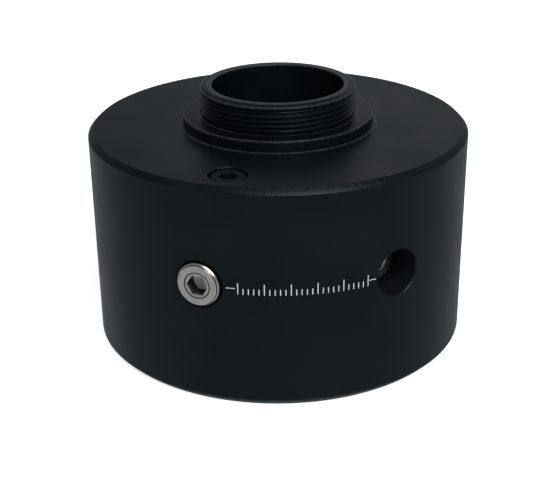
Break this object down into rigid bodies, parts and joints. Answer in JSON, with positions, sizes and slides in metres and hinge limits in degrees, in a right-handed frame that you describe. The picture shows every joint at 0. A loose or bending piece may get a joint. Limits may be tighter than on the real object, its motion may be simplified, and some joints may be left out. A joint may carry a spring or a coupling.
{
  "type": "barlow lens camera adapter",
  "caption": "Squat black cylindrical relay-lens adapter with a sliding threaded camera nose, two recessed lock screws and a threaded base.",
  "frame": {"origin": "centre of the flat bottom face, on the optical axis", "axes": "+Z along the optical axis towards the camera thread; the marked side with the two lock screws faces -Y; +X to its right"},
  "size_m": [0.062, 0.062, 0.042],
  "materials": {
    "black_anodised": "satin black anodised over a fine turned surface",
    "black_inner": "matt black anodised, low glare",
    "stainless": "satin stainless steel",
    "black_oxide": "black oxide steel",
    "brass": "turned brass",
    "rubber": "nitrile rubber, lightly greased",
    "coated_glass": "polished optical glass with a thin coating"
  },
  "bodies": {
    "housing": {"barrel": "black_anodised", "top_plate": "black_anodised", "top_plate_screws": "black_oxide", "guide_screw": "black_oxide", "base_ring": "black_anodised", "base_ring_screws": "black_oxide"},
    "focus_tube": {"focus_sleeve": "black_anodised", "sleeve_o_ring": "rubber", "lens_cell": "black_inner", "cell_shim": "brass", "cell_grub_screws": "black_oxide", "crown_element": "coated_glass", "flint_element": "coated_glass", "lens_spacer": "black_inner", "field_lens": "coated_glass", "lens_retaining_ring": "black_inner", "glare_stop": "black_inner"},
    "left_tip": {"left_screw_tip": "brass"},
    "left_screw": {"left_lock_screw": "stainless"},
    "right_tip": {"right_screw_tip": "brass"},
    "right_screw": {"right_lock_screw": "stainless"}
  },
  "joints": [
    {"name": "focus_slide", "type": "slide", "parent": "housing", "child": "focus_tube", "axis": [0, 0, 1], "range_m": [0, 0.0035]},
    {"name": "left_screw_advance", "type": "slide", "parent": "housing", "child": "left_tip", "axis": [-0.4848, -0.8746, 0], "range_m": [-0.0056, 0]},
    {"name": "left_screw_turn", "type": "hinge", "parent": "left_tip", "child": "left_screw", "pos_m": [-0.01212, -0.02186, 0.0198], "axis": [-0.4848, -0.8746, 0], "range_deg": [-2881, 0]},
    {"name": "right_screw_advance", "type": "slide", "parent": "housing", "child": "right_tip", "axis": [0.4848, -0.8746, 0], "range_m": [0, 0.0056]},
    {"name": "right_screw_turn", "type": "hinge", "parent": "right_tip", "child": "right_screw", "pos_m": [0.0097, -0.01749, 0.0198], "axis": [0.4848, -0.8746, 0], "range_deg": [0, 2881]}
  ],
  "couplings": [
    {"joint": "left_screw_turn", "follows": "left_screw_advance", "rad_per_m": 8976},
    {"joint": "right_screw_turn", "follows": "right_screw_advance", "rad_per_m": 8976}
  ]
}
